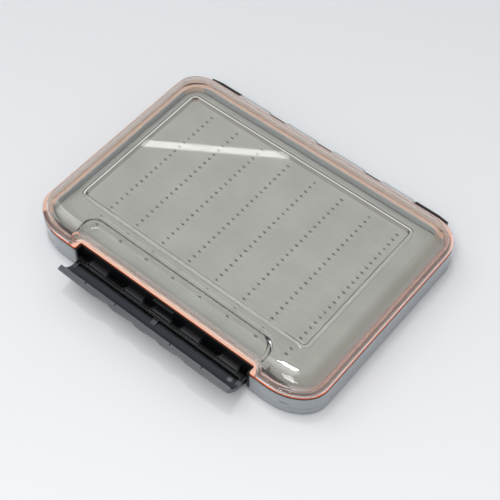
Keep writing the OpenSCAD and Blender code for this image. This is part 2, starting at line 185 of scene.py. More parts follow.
def surface(tree, **inputs):
    """A Principled shader. Its inputs are named with underscores for spaces."""
    return add(tree, "ShaderNodeBsdfPrincipled", {key.replace("_", " "): value for key, value in inputs.items()})


def opaque(tree, shader):
    """Ends an opaque material's tree."""
    add(tree, "ShaderNodeOutputMaterial", {"Surface": shader.outputs["BSDF"]})


def lit_through(tree, shader, share):
    """Ends a clear material's tree. Lamps reach what lies under the plastic, as they do through the real one."""
    path = add(tree, "ShaderNodeLightPath")
    gap = add(tree, "ShaderNodeBsdfTransparent")
    mixed = add(tree, "ShaderNodeMixShader", {0: times(tree, path.outputs["Is Shadow Ray"], share),
                                              1: shader.outputs["BSDF"], 2: gap.outputs["BSDF"]})
    add(tree, "ShaderNodeOutputMaterial", {"Surface": mixed.outputs["Shader"]})


def depth_inside(tree, place, plan, radius):
    """How far a point lies inside a rounded rectangle, in millimetres, seen from above."""
    half_x, middle_y, half_y = plan
    spot = split(tree, place)
    over = []
    for axis, middle, half in (("X", 0.0, half_x), ("Y", middle_y, half_y)):
        away = less(tree, times(tree, spot[axis], 1 / MM), middle)
        over.append(less(tree, math_node(tree, "ABSOLUTE", away), half - radius))
    corner = add(tree, "ShaderNodeCombineXYZ", {"X": math_node(tree, "MAXIMUM", over[0]),
                                                "Y": math_node(tree, "MAXIMUM", over[1])})
    length = add(tree, "ShaderNodeVectorMath", {0: corner.outputs["Vector"]}, operation="LENGTH").outputs["Value"]
    flat = math_node(tree, "MINIMUM", math_node(tree, "MAXIMUM", over[0], over[1]))
    return less(tree, radius, math_node(tree, "ADD", length, flat))


def seen_from_within(tree, place, plan):
    """1 where the nearest side of a rectangle is seen from its inner side, 0 where it faces the camera."""
    half_x, middle_y, half_y = plan
    spot = split(tree, place)
    geometry = add(tree, "ShaderNodeNewGeometry")
    turned = add(tree, "ShaderNodeVectorTransform", {"Vector": geometry.outputs["Incoming"]},
                 vector_type="VECTOR", convert_from="WORLD", convert_to="OBJECT")
    view = split(tree, turned.outputs["Vector"])
    x = times(tree, spot["X"], 1 / MM)
    y = less(tree, times(tree, spot["Y"], 1 / MM), middle_y)
    nearer_x = math_node(tree, "GREATER_THAN", less(tree, math_node(tree, "ABSOLUTE", x), half_x),
                         less(tree, math_node(tree, "ABSOLUTE", y), half_y))
    along_x = times(tree, math_node(tree, "SIGN", x), view["X"])
    along_y = times(tree, math_node(tree, "SIGN", y), view["Y"])
    facing = add(tree, "ShaderNodeMix", {"Factor": nearer_x, "A": along_y, "B": along_x})
    return ramp(tree, facing.outputs["Result"], 0.1, -0.1)


def band(tree, value, low, high, soft):
    """1 between two values and 0 outside them, with soft ends."""
    return times(tree, ramp(tree, value, low - soft, low + soft), ramp(tree, value, high + soft, high - soft))


def blend(tree, factor, a, b):
    """Two colours, given as hex codes or sockets, mixed by a factor."""
    node = add(tree, "ShaderNodeMix", {"Factor": factor}, data_type="RGBA")
    for key, colour in (("A", a), ("B", b)):
        if isinstance(colour, str):
            node.inputs[key].default_value = srgb(colour)
        else:
            tree.links.new(colour, node.inputs[key])
    return node.outputs["Result"]


def clear_polycarbonate():
    """Moulded water-clear polycarbonate: sharp reflections, bright and dark lines along its edges, partly painted, and
    a faint haze.

    Painted light and shade, because clear plastic reads differently on its near and far sides: a painted highlight and
    painted dark lines at the window's step, strongest on the far sides, and, while the lid is shut, a painted peach
    glow on the far rims, painted shade on the near shoulder and the gasket's orange painted along the near flange's
    foot, glowing a little.
    """
    material, tree = new_material("clear_polycarbonate")
    place = object_place(tree)
    z = split(tree, place)["Z"]
    rim, far_rim = depth_inside(tree, place, CASE_PLAN, 14.5), seen_from_within(tree, place, CASE_PLAN)
    pane = depth_inside(tree, place, PANE_PLAN, 3.0)

    # The window's step: a painted highlight line inside a painted dark line, and a second painted dark line on the
    # window
    high = ramp(tree, z, 19.9 * MM, 20.1 * MM)
    shine = ramp(tree, seen_from_within(tree, place, PANE_PLAN), 0.0, 1.0, 0.2, 1.0)
    painted_step_highlight = times(tree, band(tree, pane, -0.05, 0.72, CRISP), high, shine)
    dark = times(tree, band(tree, pane, -0.7, -0.1, CRISP), high)
    dark = times(tree, math_node(tree, "ADD", dark, band(tree, pane, 0.8, 1.2, CRISP)), shine)

    # The lid is shut where places in the world and in the lid's own frame agree
    geometry = add(tree, "ShaderNodeNewGeometry")
    shut = ramp(tree, apart(tree, geometry.outputs["Position"], place), 1.5 * MM, 0.0)
    near_rim = times(tree, less(tree, 1.0, far_rim), shut)

    # Painted light and shade: the far rims get a painted peach glow, the gasket's colour seen through them. The near
    # shoulder gets painted shade, darker and warmer than the window, and darkest at its foot
    painted_far_glow = times(tree, band(tree, rim, -BEYOND, 3.4, 0.8), band(tree, z, 0.0, 18.0 * MM, MM), far_rim, shut)
    painted_shoulder_shade = times(tree, band(tree, rim, 2.6, 7.5, 1.6), near_rim, 0.6)
    deep = times(tree, band(tree, rim, 1.2, 2.9, 0.5), near_rim, 0.7)
    # Painted on the near flange: the gasket's orange along its foot, with a painted glow, and a painted highlight
    # along its upper corner
    edge = times(tree, band(tree, rim, -BEYOND, 0.3, CRISP), near_rim)
    painted_foot = times(tree, edge, band(tree, z, 0.0, 14.4 * MM, CRISP * MM))
    corner = times(tree, edge, band(tree, z, 14.55 * MM, 16.0 * MM, CRISP * MM))
    # The clear tint takes the painted glow, the painted dark lines and the painted shade
    tint = "#F6F7F4"
    for share, colour in ((painted_far_glow, "#F0CFBE"), (dark, "#8A7F7C"), (painted_shoulder_shade, "#CFC4BE"), (deep, "#A98B88"),
                          (painted_foot, "#F0642A")):
        tint = blend(tree, share, tint, colour)

    # The flange's underside is etched. Handling haze lies over the rest, in patches about 12 mm across
    etched = ramp(tree, z, 14.0 * MM, 13.8 * MM)
    haze = ramp(tree, noise(tree, place, 80.0, 3.0), 0.0, 1.0, 0.0, 0.03)
    rough = add(tree, "ShaderNodeMix", {"Factor": etched, "A": haze, "B": 0.35}).outputs["Result"]
    # The painted highlights, the painted glow and the painted orange are made partly opaque so that they show
    solid = times(tree, etched, 0.15)
    for part, share in ((painted_step_highlight, 0.75), (painted_foot, 0.8), (corner, 0.55), (painted_far_glow, 0.5)):
        solid = math_node(tree, "MAXIMUM", solid, times(tree, part, share))
    # The emission is the painted glow of the gasket's orange along the near flange's foot
    shader = surface(tree, Base_Color=tint, Roughness=rough, IOR=POLYCARBONATE_IOR,
                     Transmission_Weight=less(tree, 1.0, solid), Emission_Color=srgb("#F0642A"),
                     Emission_Strength=times(tree, painted_foot, 0.45))
    lit_through(tree, shader, 0.85)
    return material


def clear_hinge_eyes():
    """The same clear polycarbonate where it is thick: it reads pale grey, with dark and bright lines at its ends."""
    material, tree = new_material("clear_polycarbonate_thick")
    tint = two_tones(tree, noise(tree, object_place(tree), 120.0, 2.0), "#E2E5E6", "#ECEEEF")
    shader = surface(tree, Base_Color=tint, Roughness=0.08, IOR=POLYCARBONATE_IOR, Transmission_Weight=0.6)
    lit_through(tree, shader, 0.6)
    return material


def smoke_polycarbonate():
    """Moulded polycarbonate with a grey smoke tint: see-through but dim, so the foam behind it is only a shade."""
    material, tree = new_material("smoke_polycarbonate")
    place = object_place(tree)
    # Flow marks of the moulding, about 20 mm apart
    tint = two_tones(tree, noise(tree, place, 50.0, 2.0), "#B8BFC4", "#C6CCD0")
    # The wall is darker at its foot, a painted contact shadow where it stands on the floor, and darker along a faint
    # line part way up
    z = split(tree, place)["Z"]
    painted_foot = band(tree, z, -MM, 1.0 * MM, 0.25 * MM)
    line = times(tree, band(tree, z, 4.6 * MM, 5.0 * MM, 0.12 * MM), 0.35)
    tint = blend(tree, math_node(tree, "MAXIMUM", painted_foot, line), tint, "#24282B")
    shader = surface(tree, Base_Color=tint, Roughness=0.14, IOR=POLYCARBONATE_IOR,
                     Transmission_Weight=less(tree, 0.5, times(tree, painted_foot, 0.4)))
    lit_through(tree, shader, 0.4)
    return material


def painted_edge_highlights(tree, place, colour, pale):
    """A latch's colour with painted highlights along its upper edges, where they catch the light from above, and with
    the ejector's round mark.
    """
    soft = add(tree, "ShaderNodeBevel", {"Radius": 0.3 * MM}, samples=6)
    plain = add(tree, "ShaderNodeNewGeometry")
    match = add(tree, "ShaderNodeVectorMath", {0: soft.outputs["Normal"], 1: plain.outputs["True Normal"]},
                operation="DOT_PRODUCT")
    painted_edge_share = ramp(tree, match.outputs["Value"], 0.985, 0.88, 0.0, 0.6)
    upward = split(tree, plain.outputs["Normal"])["Z"]
    colour = blend(tree, times(tree, painted_edge_share, ramp(tree, upward, 0.55, 0.9)), colour, pale)
    mark = apart(tree, place, (40.3 * MM, -58.0 * MM, 6.4 * MM))
    return blend(tree, ramp(tree, mark, 1.25 * MM, 1.05 * MM, 0.0, 0.8), colour, "#85898E")


def ring_inside(tree, place, colour, inner):
    """The frame's colour with its ring inside the gasket painted pale grey as it shows through the lid, and painted
    peach light on the far sides.
    """
    rim = depth_inside(tree, place, CASE_PLAN, 16.0)
    behind_bay = math_node(tree, "GREATER_THAN", split(tree, place)["Y"], (BAY_Y + 2.2) * MM)
    within = times(tree, math_node(tree, "GREATER_THAN", rim, 2.25), behind_bay)
    painted_peach_light = times(tree, seen_from_within(tree, place, CASE_PLAN), math_node(tree, "LESS_THAN", rim, 4.3))
    return blend(tree, within, colour, blend(tree, painted_peach_light, inner, "#D8BAA8"))


def satin_plastic(name, dark, light, rough_low, rough_high, depth_mm, gloss, inner=None, strip=None, edges=None):
    """A moulded ABS with a spark-eroded satin skin, whose grain is about 0.5 mm.

    Three parts of it can differ: a ring inside the gasket with painted light on it, a near-black strip behind a given
    y, and painted highlights along its upper edges.
    """
    material, tree = new_material(name)
    place = object_place(tree)
    grain = noise(tree, place, 1 / (0.5 * MM), 4.0)
    colour = blend(tree, noise(tree, place, 1 / (9 * MM), 2.0), dark, light)
    if strip:
        hidden = math_node(tree, "GREATER_THAN", split(tree, place)["Y"], strip * MM)
        colour = blend(tree, hidden, colour, "#08090A")
        gloss = times(tree, gloss, less(tree, 1.0, times(tree, hidden, 0.75)))
    # Painted highlights along the upper edges, in the colour given as edges
    if edges:
        colour = painted_edge_highlights(tree, place, colour, edges)
    # The ring inside the gasket is painted: pale grey in the colour given as inner, peach on the far sides
    if inner:
        colour = ring_inside(tree, place, colour, inner)
    bump = add(tree, "ShaderNodeBump", {"Height": grain, "Strength": 0.4, "Distance": depth_mm * MM})
    opaque(tree, surface(tree, Base_Color=colour, Roughness=ramp(tree, grain, 0.0, 1.0, rough_low, rough_high),
                         IOR=ABS_IOR, Specular_IOR_Level=gloss, Normal=bump.outputs["Normal"]))
    return material


def orange_silicone():
    """Moulded silicone rubber: bright orange, a soft waxy sheen, a little light passing into its edges, with a painted
    pale sheen on its flat top and painted light and shade under the lid's rim.
    """
    material, tree = new_material("orange_silicone")
    place = object_place(tree)
    # Dust and handling marks, about 3 mm apart
    marks = noise(tree, place, 330.0, 3.0)
    shade = two_tones(tree, marks, "#E35A22", "#EE6C35")
    # Painted sheen: the flat top is painted pale where it faces up to the overhead light
    up = split(tree, add(tree, "ShaderNodeNewGeometry").outputs["Normal"])["Z"]
    painted_top_sheen = blend(tree, ramp(tree, up, 0.75, 0.99, 0.0, 0.85), shade, "#FBD3BC")
    # Away from the latch bay it lies under the lid's rim, and its upward faces are painted there: painted shade on the
    # near sides, painted pale light on the far sides
    painted_rim_light_and_shade = blend(tree, seen_from_within(tree, place, CASE_PLAN), "#74655F", "#E9CBB8")
    under = blend(tree, ramp(tree, up, 0.3, 0.8, 0.0, 0.95), shade, painted_rim_light_and_shade)
    bay = band(tree, depth_inside(tree, place, (BAY_HALF + 3.0, FRONT, 6.5), 1.0), 0.0, 50.0, 0.5)
    bump = add(tree, "ShaderNodeBump", {"Height": marks, "Strength": 0.15, "Distance": 0.1 * MM})
    opaque(tree, surface(tree, Base_Color=blend(tree, bay, under, painted_top_sheen), Roughness=0.42, IOR=SILICONE_IOR,
                         Subsurface_Weight=0.15, Subsurface_Scale=0.6 * MM, Normal=bump.outputs["Normal"]))
    return material


def eva_foam():
    """Closed-cell EVA foam, skived: dry matt grey with a fine cell grain."""
    material, tree = new_material("eva_foam")
    place = object_place(tree)
    # Real cells are about 0.2 mm. They are drawn at 0.6 mm so that they show
    cells = add(tree, "ShaderNodeTexVoronoi", {"Vector": place, "Scale": 1 / (0.6 * MM)})
    shade = two_tones(tree, noise(tree, place, 1 / (14 * MM), 3.0), "#989994", "#A1A29D", 0.3, 0.7)
    bump = add(tree, "ShaderNodeBump", {"Height": cells.outputs["Distance"], "Strength": 0.2, "Distance": 0.08 * MM})
    opaque(tree, surface(tree, Base_Color=shade, Roughness=0.92, IOR=FOAM_IOR, Sheen_Weight=0.12,
                         Sheen_Roughness=0.6, Normal=bump.outputs["Normal"]))
    return material


def adhesive_film():
    """Double-sided tape under the foam: a dull cream film with faint cloudy patches."""
    material, tree = new_material("adhesive_film")
    shade = two_tones(tree, noise(tree, object_place(tree), 1 / (5 * MM), 2.0), "#CFCBBB", "#DDD9CB")
    opaque(tree, surface(tree, Base_Color=shade, Roughness=0.6))
    return material


def drawn_steel():
    """Drawn stainless wire: bright, with fine lines along its length."""
    material, tree = new_material("drawn_steel")
    stretch = add(tree, "ShaderNodeMapping", {"Vector": object_place(tree), "Scale": (60.0, 5000.0, 5000.0)})
    lines = noise(tree, stretch.outputs["Vector"], 1.0, 2.0)
    opaque(tree, surface(tree, Base_Color=srgb("#C4C6C9"), Metallic=1.0,
                         Roughness=ramp(tree, lines, 0.0, 1.0, 0.2, 0.4)))
    return material


def white_sweep():
    """Matt white studio floor, with painted shade that greys it further back. It keeps the box's shadow."""
    material, tree = new_material("white_sweep")
    place = object_place(tree)
    away = add(tree, "ShaderNodeVectorMath", {0: place, 1: (-0.635, 0.772, 0.0)}, operation="DOT_PRODUCT")
    painted_back_shade = ramp(tree, away.outputs["Value"], -0.16, 0.24)
    shade = two_tones(tree, noise(tree, place, 6.0, 2.0), "#EDEEF0", "#F0F1F3")
    opaque(tree, surface(tree, Base_Color=blend(tree, painted_back_shade, shade, "#D5D8DA"), Roughness=0.85,
                         Specular_IOR_Level=0.2))
    return material


CLEAR = clear_polycarbonate()
EYES = clear_hinge_eyes()
SMOKE = smoke_polycarbonate()
# The black frame's ring inside the gasket is painted pale grey, with painted peach light on its far sides
BLACK = satin_plastic("black_abs", "#0B0D0F", "#121417", 0.28, 0.4, 0.03, 0.3, inner="#A3A7A9")
# The charcoal latch has painted highlights along its upper edges
CHARCOAL = satin_plastic("charcoal_abs", "#383C41", "#43474C", 0.26, 0.42, 0.04, 0.5, strip=-56.4, edges="#A5AAAF")
ORANGE = orange_silicone()
FOAM = eva_foam()
FILM = adhesive_film()
STEEL = drawn_steel()


# ---- Outlines, in millimetres, as the case is drawn --------------------------------------

FRONT_CORNER, BACK_CORNER = (20.0, 14.0), (14.0, 12.5)
WALL = 1.5
LID_Z, FLANGE_Z, DOME_Z = 13.7, 14.9, 20.8
# The flange's width, and the window's distance from the sides, the back and the front
FLANGE_W, WINDOW = 1.8, (15.0, 16.4, 18.6)
WINDOW_CORNER, LEAST_CORNER = 3.0, 0.3
STEPS = 20


def arc(cx, cy, rx, ry, start):
    """A quarter of an ellipse."""
    turns = [math.radians(start + 90 * i / STEPS) for i in range(STEPS + 1)]
    return [(cx + rx * math.cos(a), cy + ry * math.sin(a)) for a in turns]


def outline(half, front, back, fx, fy, bx, by, front_xs):
    """An outline with its own front and back corners, and given places along its front side."""
    return (arc(half - bx, back - by, bx, by, 0) + arc(bx - half, back - by, bx, by, 90)
            + arc(fx - half, front + fy, fx, fy, 180) + [(x, front) for x in front_xs]
            + arc(half - fx, front + fy, fx, fy, 270))


def case_outline(inset, front_xs):
    """The case's outline, moved in by a distance."""
    (fx, fy), (bx, by) = FRONT_CORNER, BACK_CORNER
    return outline(HALF_W - inset, FRONT + inset, BACK - inset,
                   fx - inset, fy - inset, bx - inset, by - inset, front_xs)


def mix(a, b, t):
    """A value on the way from one to another."""
    return a + (b - a) * t


def shoulder(t):
    """A share of the lid's shoulder, which is steeper at its foot and fuller than a quarter circle."""
    return max(t, 0.0) ** (2 / 3)


def shoulder_turn(share):
    """The turn at which the shoulder has come in by a share of its width."""
    return math.degrees(math.acos(max(1 - share, 0.0) ** 1.5))


def dome_outline(t, inset, front_xs):
    """The outline between the lid's flange (t = 0) and its raised window (t = 1)."""
    side, back, front = WINDOW
    corners = [max(mix(r - FLANGE_W, WINDOW_CORNER, t) - inset, LEAST_CORNER) for r in FRONT_CORNER + BACK_CORNER]
    return outline(mix(HALF_W - FLANGE_W, HALF_W - side, t) - inset,
                   mix(FRONT + FLANGE_W, FRONT + front, t) + inset,
                   mix(BACK - FLANGE_W, BACK - back, t) - inset, *corners, front_xs)


# ---- Lid ---------------------------------------------------------------------------------

LEDGE_Z, LEDGE_Y, RECESS_Y, RECESS_HALF, RECESS_R = 16.9, -49.0, -41.5, 47.5, 5.0
DOME_RISE = DOME_Z - FLANGE_Z
# Where the front edge starts to curve forward beside the latch, and how gently
NOTCH_HALF, NOTCH_CURVE = 45.6, 4.2
# The recess's wall: where it leaves the ledge, where it is straight, its steepness and the height it has there
WALL_START, WALL_STRAIGHT, WALL_CURVE, WALL_RISE, WALL_SLOPE = -0.25, 0.35, 4, 1.44, 4.8
# How far the edge's rounding leads in, and how wide the recess is blended into the shoulder
EDGE_LEAD, RECESS_BLEND = 0.4, 0.5
# Rings behind this y keep their places where the notch cuts the front back, and how many rings the edge has
SETTLED_Y, OUTER_EDGE_ROWS, INNER_EDGE_ROWS = -48.3, 5, 3


def front_edge(x, grow):
    """The lid's front edge: straight behind the latch, then curving forward to the case's front.

    Here and below, grow is 0 for the lid's outer skin and the wall's thickness for its inner one.
    """
    bend = max(0.0, abs(x) - grow - NOTCH_HALF)
    return max(LEDGE_Y + grow - bend ** 2 / NOTCH_CURVE, FRONT if grow == 0 else FRONT + FLANGE_W + WALL)


def smooth_min(a, b, radius):
    """The lower of two heights, rounded where they meet."""
    h = max(radius - abs(a - b), 0.0) / radius
    return min(a, b) - h * h * radius * 0.25


def recess_height(x, y, grow):
    """Height of the finger recess: its ledge, and a steep wall with rounded corners round it."""
    half, back = RECESS_HALF + grow, RECESS_Y + grow
    qx, qy = abs(x) - (half - RECESS_R), y - (back - RECESS_R)
    gap = math.hypot(max(qx, 0.0), max(qy, 0.0)) + min(max(qx, qy), 0.0) - RECESS_R
    if gap < WALL_START:
        rise = 0.0
    elif gap < WALL_STRAIGHT:
        rise = (gap - WALL_START) ** 2 * WALL_CURVE
    else:
        rise = WALL_RISE + (gap - WALL_STRAIGHT) * WALL_SLOPE
    return LEDGE_Z - grow + rise


def shoulder_rings(turns, inset, rise):
    """Rings up the shoulder at given turns, in degrees."""
    return [("dome", 1 - shoulder(math.cos(a)), inset, FLANGE_Z + rise * shoulder(math.sin(a)))
            for a in map(math.radians, turns)]


def shoulder_turns(ys, inset=0.0):
    """Turns at which the front of the shoulder passes given places."""
    return [shoulder_turn((y - inset - FRONT - FLANGE_W) / (WINDOW[2] - FLANGE_W)) for y in ys]


def lid_rows():
    """Rings from the flange's lower edge up to the raised window: ("case" or "dome", share, inset, height)."""
    edge = [(0.0, -0.4), (0.06, -0.18), (0.18, -0.06), (0.4, 0.0), (0.8, 0.0), (1.3, 0.0), (1.58, 0.06), (1.74, 0.24)]
    rows = [("case", 0, 0, LID_Z)] + [("case", 0, inset, FLANGE_Z + rise) for inset, rise in edge]
    # Close together where the recess's wall crosses the shoulder
    ys = [-48.8 + 0.3 * i for i in range(23)] + [-42.1 + 0.13 * i for i in range(12)] + [-40.4, -40.0]
    turns = [2, 5, 8, 12, 16, 20, 25, 30, 35] + shoulder_turns(ys) + [82, 84.5, 87]
    step = ((-0.35, 0), (-0.12, 0.01), (0.0, 0.08), (0.08, 0.25), (0.14, 0.4), (0.24, 0.48), (0.4, 0.5), (1.4, 0.5))
    return rows + shoulder_rings(turns, 0, DOME_RISE) + [("dome", 1, d, DOME_Z + h) for d, h in step]


def inner_rows():
    """Rings of the lid's hollow side, from its lower edge up to the window."""
    rows = [("dome", 0, WALL, z) for z in (LID_Z, LID_Z + 0.6, FLANGE_Z)]
    ys = [-47.0 + 0.5 * i for i in range(11)] + [-41.6 + 0.25 * i for i in range(10)]
    turns = sorted([2, 5, 9, 14, 20, 26, 33] + shoulder_turns(ys, WALL) + [80, 84, 87, 90])
    step = ((0.06, 0.1), (0.16, 0.38), (0.28, 0.5), (1.2, 0.5))
    return (rows + shoulder_rings(turns, WALL, DOME_RISE - WALL)
            + [("dome", 1, WALL + d, DOME_Z - WALL + h) for d, h in step])


def front_xs():
    """Places along the lid's front: close together round the ends of the recess."""
    right = [2.0 * i for i in range(20)] + [39.5 + 0.35 * i for i in range(34)] + [52.0, 53.0]
    return [-x for x in reversed(right[1:])] + right


def notched(section, x, start, grow, edge_rows, settled):
    """A front section cut back to the latch's notch, with the same number of points."""
    lead = start + (EDGE_LEAD if grow == 0 else 0.0)
    k = edge_rows - 1
    while section[k + 1][0] < lead:
        k += 1
    cut = k + (lead - section[k][0]) / (section[k + 1][0] - section[k][0])
    top = min(mix(section[k][1], section[k + 1][1], cut - k), recess_height(x, lead, grow))
    new = []
    for i, (y, z) in enumerate(section):
        if i < edge_rows - 1 or (grow and i < edge_rows):
            share = (z - LID_Z) / (FLANGE_Z - LID_Z)
            height = LID_Z if i == 0 else (top - (FLANGE_Z - z) if grow == 0 else mix(LID_Z, top, share))
            new.append((start + (y - FRONT if grow == 0 else 0.0), height))
        elif i < settled:
            p = mix(cut, settled, (i - edge_rows + 1) / (settled - edge_rows + 1))
            k = min(int(p), settled - 1)
            new.append((mix(section[k][0], section[k + 1][0], p - k), mix(section[k][1], section[k + 1][1], p - k)))
        else:
            new.append((y, z))
    return new


def lid_skin(rows, xs, grow):
    """One skin of the lid as columns of points. Its front columns follow the latch's notch and recess."""
    rings = [(case_outline(inset, xs) if kind == "case" else dome_outline(t, inset, xs))
             for kind, t, inset, _ in rows]
    # An outline's front side follows its first three corners
    first = 3 * (STEPS + 1)
    edge_rows = OUTER_EDGE_ROWS if grow == 0 else INNER_EDGE_ROWS
    settled = next(k for k, ring in enumerate(rings) if ring[first][1] > SETTLED_Y + grow)
    columns = []
    for j in range(len(rings[0])):
        column = [(*ring[j], row[3]) for ring, row in zip(rings, rows)]
        if first <= j < first + len(xs):
            x = xs[j - first]
            start = front_edge(x, grow)
            section = [(y, z) for _, y, z in column]
            if start > section[0][0] + 1e-6:
                section = notched(section, x, start, grow, edge_rows, settled)
            column = [(x, y, smooth_min(z, recess_height(x, y, grow), RECESS_BLEND) if i >= edge_rows - 1 else z)
                      for i, (y, z) in enumerate(section)]
        columns.append(column)
    return columns


def lid_shell():
    """Flange, rounded shoulder, raised window and finger recess, as one closed clear shell."""
    xs = front_xs()
    outer = lid_skin(lid_rows(), xs, 0.0)
    inner = lid_skin(inner_rows(), xs, WALL)
    columns = [up + down[::-1] for up, down in zip(outer, inner)]
    height, count, top = len(columns[0]), len(columns), len(outer[0]) - 1
    points = [p for column in columns for p in column]
    faces = []
    for j in range(count):
        a, b = j * height, ((j + 1) % count) * height
        for k in range(height):
            if k != top:
                m = (k + 1) % height
                faces.append((a + k, b + k, b + m, a + m))
    # The window's two sides
    faces.append([j * height + top for j in range(count)])
    faces.append([j * height + top + 1 for j in reversed(range(count))])
    piece = new_piece("lid_shell", points, faces, CLEAR)
    even_normals(piece)
    return piece


HINGE_Y, HINGE_Z, TAB_R, TAB_W = 55.2, 11.4, 1.9, 17.5
TAB_PLACES = (-39.4, -13.1, 13.1, 39.4)
# The tab's root under the flange, and the point that its rounded ends shrink towards
TAB_ROOT_Y, TAB_ROOT_Z, TAB_END_Y, TAB_END_Z = 54.01, LID_Z - 0.02, 54.1, 12.9


def lid_tabs():
    """Four clear eyes that carry the hinge pin, with rounded ends."""
    turns = [math.radians(a) for a in range(35, -181, -12)]
    section = [(HINGE_Y + TAB_R * math.cos(a), HINGE_Z + TAB_R * math.sin(a)) for a in turns]
    section += [(HINGE_Y - TAB_R, 12.6), (HINGE_Y - TAB_R, TAB_ROOT_Z), (TAB_ROOT_Y, TAB_ROOT_Z),
                (TAB_ROOT_Y, 14.6), (54.3, 14.7), (54.8, 14.5), (55.4, 13.6), (56.1, 13.4), (56.55, 13.05),
                (56.8, 12.6)]
    ends = [(0.0, 0.66), (0.1, 0.8), (0.3, 0.9), (0.65, 0.97), (1.1, 1.0)]
    n = len(section)
    points, faces = [], []
    for place in TAB_PLACES:
        rings = [(place - TAB_W / 2 + d, s) for d, s in ends]
        rings += [(place + TAB_W / 2 - d, s) for d, s in reversed(ends)]
        base = len(points)
        for x, scale in rings:
            points += [(x, mix(TAB_END_Y, y, scale) if y > TAB_END_Y else y, mix(TAB_END_Z, z, scale))
                       for y, z in section]
        for r in range(len(rings) - 1):
            for i in range(n):
                a, b = base + r * n + i, base + r * n + (i + 1) % n
                faces.append((a, b, b + n, a + n))
        faces.append([base + i for i in range(n)])
        faces.append([base + (len(rings) - 1) * n + i for i in reversed(range(n))])
    piece = new_piece("lid_tabs", points, faces, EYES)
    piece.data.set_sharp_from_angle(angle=math.radians(50))
    return piece


# ---- Gasket ------------------------------------------------------------------------------

# The gasket's straight run along the hinge: its y, half its length, a point on the way and the slant at its ends
HINGE_SEAT, SEAT_HALF, SEAT_MIDDLE, SEAT_SLANT = 52.6, 60.0, 20.0, 0.3
# The least distance from the latch bay, and the cut corners beside it
BAY_CLEAR, BAY_CUT = 0.5, 0.6


def gasket_bead():
    """The gasket as one moulded bead with rounded shoulders. It steps round the latch bay and behind the hinge."""
    section = [(0.08, 12.81), (0.08, 13.3), (0.13, 13.5), (0.25, 13.6), (0.7, 13.62), (1.4, 13.6),
               (1.9, 13.59), (2.08, 13.5), (2.17, 13.35), (2.2, 13.05), (2.2, 12.81)]
    (fx, fy), (bx, by) = FRONT_CORNER, BACK_CORNER
    points = []
    for d, z in section:
        front, back = FRONT + d, BACK - d
        seat = min(back, HINGE_SEAT)
        ring = arc(HALF_W - bx, BACK - by, bx - d, by - d, 0)
        ring += [(SEAT_HALF + SEAT_SLANT, back), (SEAT_HALF, seat), (SEAT_MIDDLE, seat)]
        ring += [(-SEAT_MIDDLE, seat), (-SEAT_HALF, seat), (-SEAT_HALF - SEAT_SLANT, back)]
        ring += arc(bx - HALF_W, BACK - by, bx - d, by - d, 90) + arc(fx - HALF_W, FRONT + fy, fx - d, fy - d, 180)
        side, deep = BAY_HALF + max(d, BAY_CLEAR), BAY_Y + max(d, BAY_CLEAR)
        left = [(-side - BAY_CUT, front), (-side, front + BAY_CUT), (-side, deep - BAY_CUT), (-side + BAY_CUT, deep)]
        ring += left + [(0.0, deep)] + [(-x, y) for x, y in reversed(left)]
        ring += arc(HALF_W - fx, FRONT + fy, fx - d, fy - d, 270)
        points += [(x, y, z) for x, y in ring]
    n = len(ring)
    faces = []
    for k in range(len(section)):
        m = (k + 1) % len(section)
        faces += [(k * n + i, k * n + (i + 1) % n, m * n + (i + 1) % n, m * n + i) for i in range(n)]
    piece = new_piece("gasket_bead", points, faces, ORANGE)
    piece.data.set_sharp_from_angle(angle=math.radians(50))
    return piece


# ---- Foam --------------------------------------------------------------------------------

FOAM_Z0, FOAM_Z1, FOAM_FRONT, FOAM_BACK, FOAM_IN = 1.8, 9.4, -47.4, 49.0, 1.9
SLIT_PITCH, SLIT_SHIFT, SLIT_COUNT = 3.13, 1.25, 25
HOLES = [side * (7.35 + 14.705 * k) for k in range(4) for side in (-1, 1)]
# The pad's edges are rounded in two steps
EDGE_1, EDGE_2 = 0.12, 0.4
# Half the width, and the depth, of a cut and of the hole that it opens to, with how far each hole spreads
CUT_HALF, HOLE_HALF, HOLE_SPREAD = 0.015, 0.45, 0.45
CUT_DEPTH, HOLE_DEPTH, DEPTH_SPREAD = 0.012, 3.2, 0.5
# A cut's lip: its width, and how far it lies under the pad's top
LIP_WIDTH, LIP_DROP = 0.1, 0.003
# The cuts fade past the last holes
CUT_HALF_LENGTH, CUT_FADED = 59, 0.1


def foam_half_width(y):
    """Half the foam's width at a depth: it follows the rounded corners of the tub."""
    half = HALF_W - FOAM_IN
    (fx, fy), (bx, by) = FRONT_CORNER, BACK_CORNER
    for edge, rx, ry in ((FRONT + fy - y, fx - FOAM_IN, fy - FOAM_IN), (y - BACK + by, bx - FOAM_IN, by - FOAM_IN)):
        if edge > 0:
            return half - rx + rx * math.sqrt(max(0.0, 1 - (edge / ry) ** 2))
    return half


def foam_point(x, y, kind, drop):
    """A point of the foam's top: on a slit's lip, down its cut, or on the pad between."""
    near = min(abs(x - hole) for hole in HOLES)
    cut = 1.0 if abs(x) < CUT_HALF_LENGTH else CUT_FADED
    open_w = CUT_HALF + HOLE_HALF * math.exp(-(near / HOLE_SPREAD) ** 2)
    side = 1 if kind.endswith("1") else -1
    if kind.startswith("lip"):
        return x, y + side * (open_w + LIP_WIDTH), FOAM_Z1 - LIP_DROP * cut
    if kind.startswith("cut"):
        depth = CUT_DEPTH * cut + HOLE_DEPTH * math.exp(-(near / DEPTH_SPREAD) ** 2)
        return x, y + side * 0.7 * open_w, FOAM_Z1 - depth
    return x, y, FOAM_Z1 - drop


